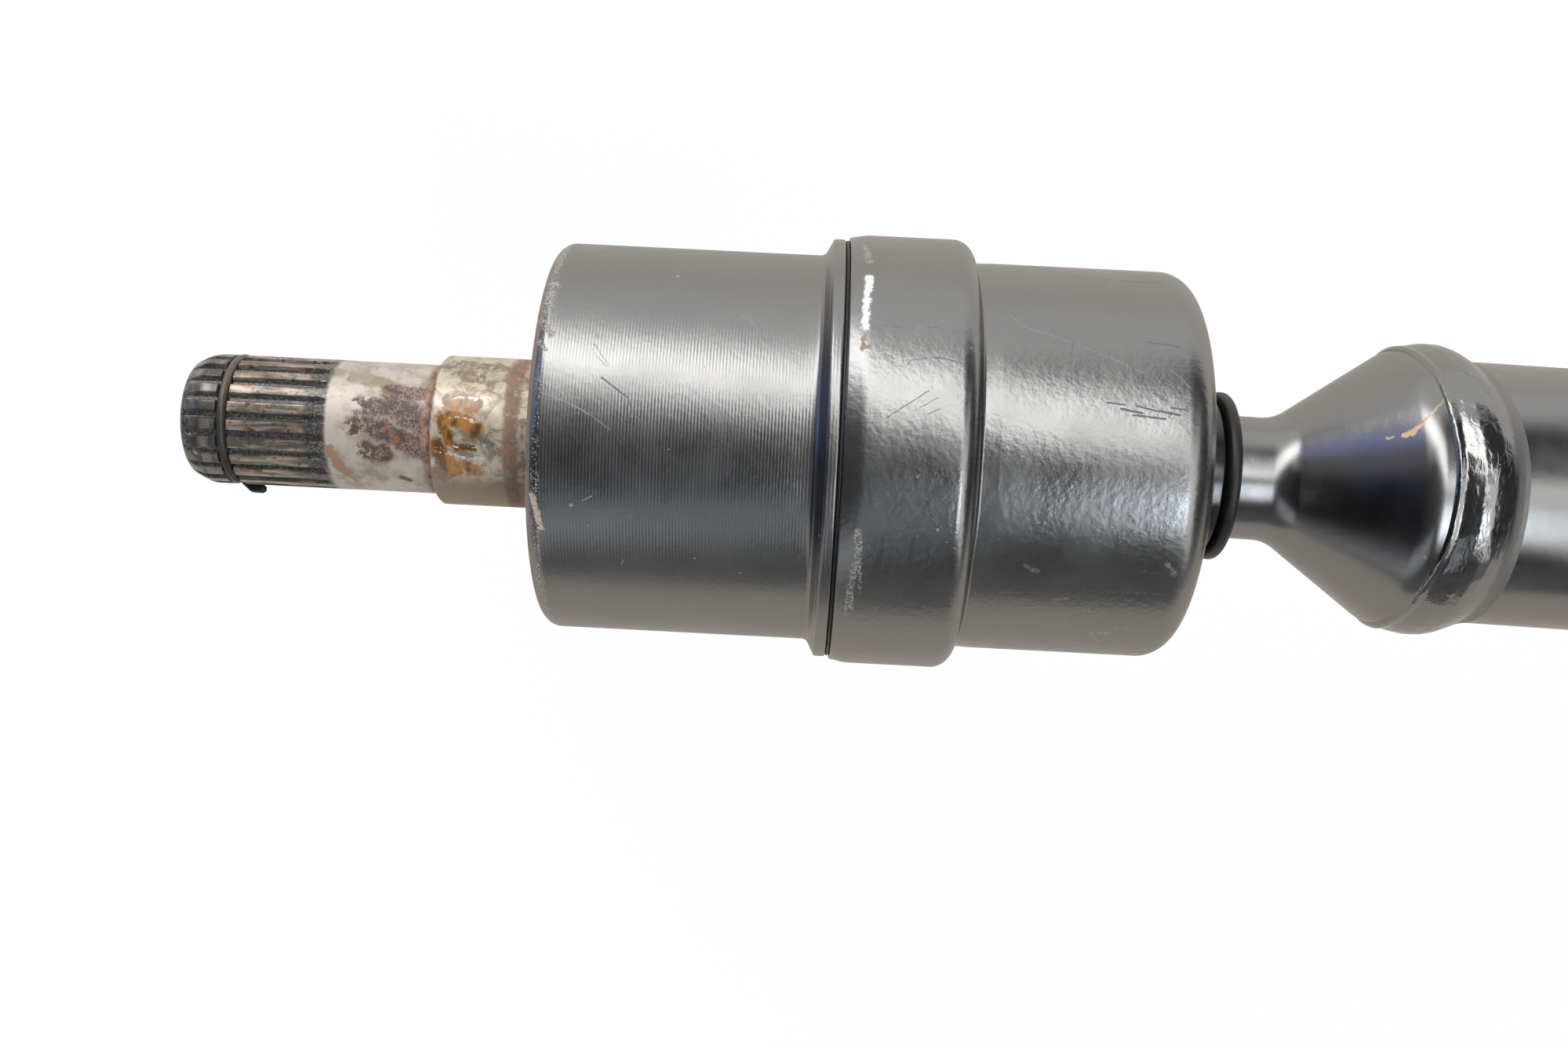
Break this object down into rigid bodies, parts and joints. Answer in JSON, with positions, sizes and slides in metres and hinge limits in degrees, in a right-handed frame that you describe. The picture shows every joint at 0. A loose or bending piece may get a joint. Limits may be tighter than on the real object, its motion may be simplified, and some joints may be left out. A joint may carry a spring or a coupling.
{
  "type": "drive shaft",
  "caption": "Rear drive shaft end: a splined stub and forged cup with a plunging, swivelling ball joint, a pressed can and rubber boot, and a necked end welded to a long tube.",
  "frame": {"origin": "middle of the flat end face of the splined stub", "axes": "+X runs from the splined stub through the cup towards the tube; +Z faces up as the shaft lies in the picture's top view; +Y completes the frame"},
  "size_m": [0.7379, 0.0838, 0.0842],
  "materials": {
    "cup_paint": "satin black over fine turning lines, worn at the edges",
    "can_paint": "satin black with a slight orange peel and a few chips",
    "shaft_paint": "semi-gloss black",
    "painted_weld": "gloss black over rough weld metal",
    "clamp_band": "gloss black",
    "spring_steel": "oiled dark steel",
    "hardened_steel": "ground and oiled",
    "ball_steel": "polished",
    "seal_rubber": "matte",
    "boot_rubber": "matte"
  },
  "bodies": {
    "shaft": {"inner_race": "hardened_steel", "race_circlip_inner": "spring_steel", "race_circlip_outer": "spring_steel", "shaft_neck": "shaft_paint", "boot_clamp": "clamp_band", "weld_bead_near": "painted_weld", "tube": "shaft_paint", "weld_bead_far": "painted_weld", "far_end_stub": "shaft_paint"},
    "side_half": {"ball_4": "ball_steel"},
    "cage": {"ball_cage": "hardened_steel", "ball_2": "ball_steel", "ball_3": "ball_steel", "ball_5": "ball_steel", "ball_6": "ball_steel"},
    "lift_half": {"ball_1": "ball_steel"},
    "rolling_boot": {"boot": "boot_rubber"},
    "cup": {"outer_race": "cup_paint", "stub_retaining_ring": "spring_steel", "ball_stop_ring": "spring_steel", "can_seal": "seal_rubber", "boot_can": "can_paint"}
  },
  "joints": [
    {"name": "side_swing_at_shaft", "type": "hinge", "parent": "shaft", "child": "side_half", "pos_m": [0.112, 0, 0], "axis": [0, 0, 1], "range_deg": [-3.48, 2.52], "deforming": ["boot"]},
    {"name": "lift_swing_at_shaft", "type": "hinge", "parent": "side_half", "child": "cage", "pos_m": [0.112, 0, 0], "axis": [0.0083, 1, 0], "range_deg": [-3, 3], "deforming": ["boot"]},
    {"name": "lift_swing_at_cup", "type": "hinge", "parent": "cage", "child": "lift_half", "pos_m": [0.112, 0, 0], "axis": [0.0083, 1, 0], "range_deg": [-3, 3], "deforming": ["boot"]},
    {"name": "side_swing_at_cup", "type": "hinge", "parent": "lift_half", "child": "rolling_boot", "pos_m": [0.112, 0, 0], "axis": [0, 0, 1], "range_deg": [-3.48, 2.52], "deforming": ["boot"]},
    {"name": "plunge", "type": "slide", "parent": "rolling_boot", "child": "cup", "axis": [1, 0, 0], "range_m": [-0.016, 0.014], "deforming": ["boot"]}
  ],
  "couplings": [
    {"joint": "lift_swing_at_cup", "follows": "lift_swing_at_shaft", "ratio": 1},
    {"joint": "side_swing_at_cup", "follows": "side_swing_at_shaft", "ratio": 1}
  ]
}
